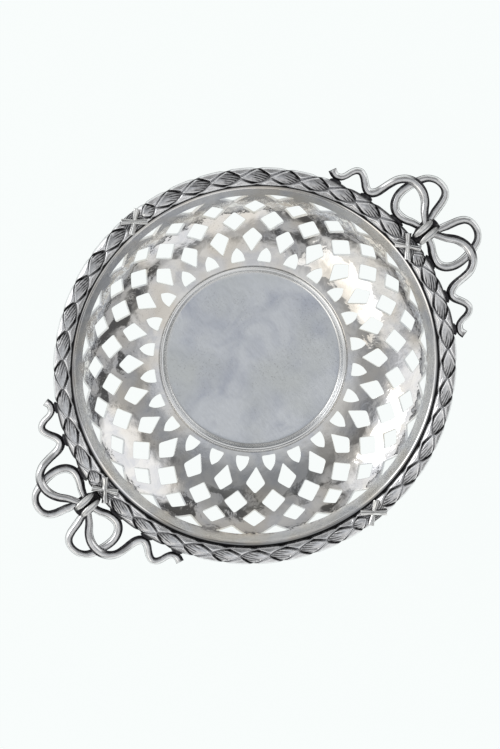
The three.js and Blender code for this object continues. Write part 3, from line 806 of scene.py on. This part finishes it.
def solder(side, along, length):
    """A low run of solder in the crevice between a ribbon and the border's edge, painted black all over as
    the shade in the crevice.
    """
    rings = []
    for share in np.linspace(-1, 1, 13):
        swell = math.sqrt(max(0.02, 1 - share * share))
        angle = side * (along + share * length / 2) / border_outer
        turns = np.linspace(0, math.tau, 12, endpoint=False)
        radius = border_outer + solder_gap * 0.5 + 0.75 * swell * np.cos(turns)
        rings.append(np.stack([radius * math.cos(angle), radius * math.sin(angle),
                               0.62 + 0.6 * swell * np.sin(turns)], 1))
    points, faces = loft(np.array(rings))
    return points, faces, np.ones(len(points))


def one_mesh(bodies):
    """Puts runs of points, faces and darkness together as one."""
    points, faces, darks, total = [], [], [], 0
    for some_points, some_faces, some_darks in bodies:
        points.append(some_points)
        faces += [[i + total for i in face] for face in some_faces]
        darks.append(some_darks)
        total += len(some_points)
    return np.vstack(points), faces, np.concatenate(darks)


def in_bow_sizes(shares):
    return [(out * bow_reach, along * bow_half_span) for out, along in shares]


ribbon_silver = oxidised_silver("cast silver ribbon, bevelled, with painted shade", bright=0xf8f8f8,
                                dark=0x434246, roughness=0.2, grain_mm=1.8)
# The ends run in under the wraps of the knot.
loop_start = (knot_length * 0.33, knot_width * 0.16)
loop_end = (knot_length * 0.55, knot_width * 0.3)
tail_start = (knot_length * 0.52, knot_width * 0.36)
tail_over = ribbon_thickness + solder_gap
for i, side in enumerate((1, -1)):
    loop = ribbon_run(side, [loop_start] + in_bow_sizes(loop_shares) + [loop_end], loop_widths, loop_steps,
                      lambda share: 0, lambda share: 1 - 2 * float(smooth(share, 0.46, 0.54)))
    tail = ribbon_run(side, [tail_start] + in_bow_sizes(tail_shares), tail_widths, tail_steps,
                      lambda share: tail_over * (1 - float(smooth(share, 0.4, 0.56))),
                      lambda share: 2 * float(smooth(share, 0.28, 0.38)) - 1)
    seams = [solder(side, bow_half_span * share, length)
             for share, length in ((0.26, 5.5), (0.63, 4.5), (0.96, 4.0))]
    loop = one_mesh([loop, seams[0]])
    tail = one_mesh([forked(tail), *seams[1:]])
    for end, turns in (("right", 0), ("left", 2)):
        for form, (points, faces, darks) in (("loop", loop), ("tail", tail)):
            piece("%s_%s_%d" % (end, form, i + 1), quarter_turned(points, turns), faces, ribbon_silver,
                  "oxidised_silver", "%s_bow_%s_%d" % (end, form, i + 1), {"recess": darks})

# Bow knots. Two rounded wraps of ribbon, side by side over the loops' ends, on a block that these are
# soldered to; cast in one with the bow, with black left in the gap between them.
wrap_radius = knot_width * 0.222
wrap_offset = knot_width / 2 - wrap_radius
knot_middle = border_outer + solder_gap + knot_length / 2


def wrap(side):
    """A wrap is fluted along its top, thicker towards its outer end, and bent a little sideways."""
    rings = []
    turns = np.linspace(0, math.tau, 36, endpoint=False)
    for share in np.linspace(-0.995, 0.995, 37):
        swell = math.sqrt(1 - abs(share) ** 2.8) * (0.94 + 0.12 * share)
        x = knot_middle + share * knot_length / 2
        y = side * (wrap_offset - 0.1 * (1 - share * share) * wrap_radius) + 0.3 * share * abs(share)
        across, up = (np.sign(v) * np.abs(v) ** 0.8 for v in (np.cos(turns), np.sin(turns)))
        up = up - 0.34 * np.exp(-(across / 0.42) ** 2) * (up > 0)
        rings.append(np.stack([np.full_like(turns, x), y + swell * wrap_radius * across,
                               knot_height * (0.72 + 0.28 * swell * up - 0.1 * share * share)], 1))
    return loft(np.array(rings))


# The black ground of the casting runs in to the border and out between the ribbons' ends.
ground_half = [(-0.35, 1.7), (1.0, 2.1), (2.6, 3.0), (4.6, 3.3), (7.0, 3.2), (8.6, 2.3)]
ground_outline = softened(ground_half + [(9.0, 0)] + [(x, -y) for x, y in reversed(ground_half)], 0.8)
ground = loft(np.array([[(border_outer + solder_gap + x * s, y * s, z) for x, y in ground_outline]
                        for z, s in ((0, 0.97), (0.3, 1), (1.0, 1), (1.25, 0.96))]))
block_half = (knot_length * 0.42, knot_width * 0.3)
block_outline = softened([(-block_half[0], -block_half[1]), (block_half[0], -block_half[1]),
                          block_half, (-block_half[0], block_half[1])], 0.8)
block = loft(np.array([[(knot_middle + x, y, z) for x, y in block_outline]
                       for z in (0.2, knot_height * 0.3, knot_height * 0.52)]))
knot_points, knot_faces = joined("knot", [block, ground, wrap(1), wrap(-1)])
knot_dark = 1 - 0.9 * smooth(knot_points[:, 2], knot_height * 0.66, knot_height * 0.9)
for end, turns in (("right", 0), ("left", 2)):
    piece(end + "_knot", quarter_turned(knot_points, turns), knot_faces, tie_silver, "oxidised_silver",
          end + "_bow_knot", {"recess": knot_dark})

# Studio: a white table, a pale grey room with white screens, and two soft lamps. The camera stands nearly
# over the dish, a little towards its far side, as in the photograph.
paper = 0xfbfffe
paper_grain_mm = 3
mirrored_share = 0.75


def direction(azimuth, elevation):
    a, e = math.radians(azimuth), math.radians(elevation)
    return Vector((math.cos(e) * math.cos(a), math.cos(e) * math.sin(a), math.sin(e)))


def glow(name, colour, strength):
    """Matt paper that the camera sees white, and the silver a little less so. It still takes the shadow.
    Its grain is much finer, and is drawn at 3 mm so that it shows."""
    material = new_material(name)
    path = add(material, "LightPath")
    mirrored = add(material, "Math", {"operation": "MULTIPLY", 1: mirrored_share},
                   {0: path.outputs["Is Glossy Ray"]})
    seen = add(material, "Math", {"operation": "MAXIMUM"}, {0: path.outputs["Is Camera Ray"], 1: mirrored})
    share = add(material, "Math", {"operation": "MULTIPLY", 1: strength}, {0: seen})
    grain = add(material, "TexNoise", {"Scale": 1 / (paper_grain_mm * MM), "Detail": 2})
    tone = add(material, "Mix", {"data_type": "RGBA", 6: linear(colour), 7: linear(0xf4f8f7)}, {0: grain})
    matt = add(material, "BsdfDiffuse", {}, {"Color": tone.outputs[2]})
    light = add(material, "Emission", {"Color": linear(colour), "Strength": 1})
    both = add(material, "MixShader", {}, {0: share, 1: matt, 2: light})
    add(material, "OutputMaterial", {}, {"Surface": both})
    return material


table_half, table_drop = 3, 0.0002
floor_mesh = bpy.data.meshes.new("table_top")
floor_mesh.from_pydata([(x * table_half, y * table_half, -table_drop)
                        for x, y in ((-1, -1), (1, -1), (1, 1), (-1, 1))], [], [(0, 1, 2, 3)])
floor_mesh.materials.append(glow("white paper, matt", paper, 0.95))
table_top = in_scene("table_top", floor_mesh)

room = bpy.data.worlds.new("studio")
room.use_nodes = True
room.node_tree.nodes.clear()
room_place = add(room, "TexCoord").outputs["Generated"]
room_height = add(room, "SeparateXYZ", {}, {0: room_place}).outputs["Z"]
room_tone = add(room, "ValToRGB", {}, {0: room_height})
tones = room_tone.color_ramp
stops = [(0.0, 0x9a9a9b), (0.2, 0xacacac), (0.5, 0xb0b0b0), (0.75, 0x9d9ea0), (0.88, 0xa4a6a9),
         (0.97, 0xcfd2d6)]
tones.elements[0].position, tones.elements[0].color = stops[0][0], linear(stops[0][1])
tones.elements[1].position, tones.elements[1].color = stops[-1][0], linear(stops[-1][1])
for position, colour in stops[1:-1]:
    tones.elements.new(position).color = linear(colour)
# The walls aren't even: windows, screens and dark corners stand round the table. The ceiling, which the
# floor of the dish mirrors, is even.
room_parts = add(room, "TexNoise", {"Scale": 4.2, "Detail": 0.5, "Distortion": 0.5}, {"Vector": room_place})
room_share = add(room, "MapRange", {"From Min": 0.4, "From Max": 0.5, "To Min": 0.22, "To Max": 1.15},
                 {"Value": room_parts})
overhead = add(room, "MapRange", {"From Min": 0.62, "From Max": 0.86}, {"Value": room_height})
evened = add(room, "Mix", {"data_type": "FLOAT", 3: 1.0}, {0: overhead, 2: room_share})
varied = add(room, "VectorMath", {"operation": "SCALE"}, {0: room_tone, "Scale": evened})
room_light = varied.outputs["Vector"]
# White screens stand round the table, each even in its middle and fading at its edge, and one dark curtain.
# Each has an azimuth, an elevation and a reach in degrees, a strength and a colour.
screens = [(124, 9, 38, 1.0, 0xffffff), (184, 30, 27, 0.8, 0xfffefb), (350, 19, 26, 1.0, 0xffffff),
           (262, 56, 32, 0.5, 0xfffefc), (250, 2, 28, 0.9, 0xffffff), (45, 52, 38, 0.35, 0x606260)]
for azimuth, elevation, reach, strength, colour in screens:
    towards = add(room, "VectorMath", {"operation": "DOT_PRODUCT", 1: direction(azimuth, elevation)},
                  {0: room_place})
    glow_share = add(room, "MapRange", {"interpolation_type": "SMOOTHSTEP", "To Max": strength,
                                        "From Min": math.cos(math.radians(reach)),
                                        "From Max": math.cos(math.radians(0.6 * reach))},
                     {"Value": towards.outputs["Value"]})
    screen = add(room, "Mix", {"data_type": "RGBA", 7: linear(colour)}, {0: glow_share, 6: room_light})
    room_light = screen.outputs[2]
room_seen = add(room, "LightPath").outputs["Is Camera Ray"]
room_glow = add(room, "Background", {"Strength": 1}, {"Color": room_light})
room_white = add(room, "Background", {"Color": linear(paper), "Strength": 1})
room_both = add(room, "MixShader", {}, {0: room_seen, 1: room_glow, 2: room_white})
add(room, "OutputWorld", {}, {"Surface": room_both})
bpy.context.scene.world = room


def lamp(name, azimuth, elevation, distance, width, depth, watts, colour):
    data = bpy.data.lights.new(name, "AREA")
    data.shape, data.size, data.size_y = "RECTANGLE", width, depth
    data.energy, data.color = watts, linear(colour)[:3]
    made = in_scene(name, data)
    made.location = distance * direction(azimuth, elevation)
    made.rotation_euler = (-made.location).to_track_quat("-Z", "Y").to_euler()


lamp("soft_box_left", 122, 24, 1.1, 0.6, 0.5, 1.3, 0xffffff)
lamp("soft_box_near", 192, 46, 1.1, 0.6, 0.5, 0.6, 0xfffcf6)

# The camera was fitted to the ellipses of the border and to the rows of openings.
eye = (0.05703, 0.11433, 0.79604)
eye_turn = (-9.2979, -1.9131, -38.9821)
lens = bpy.data.cameras.new("camera")
lens.sensor_width = 36
lens.lens = 115.35
lens.clip_start, lens.clip_end = 0.01, 50
camera = in_scene("camera", lens)
camera.location = eye
camera.rotation_euler = [math.radians(a) for a in eye_turn]
bpy.context.scene.camera = camera
bpy.context.scene.view_settings.view_transform = "Standard"
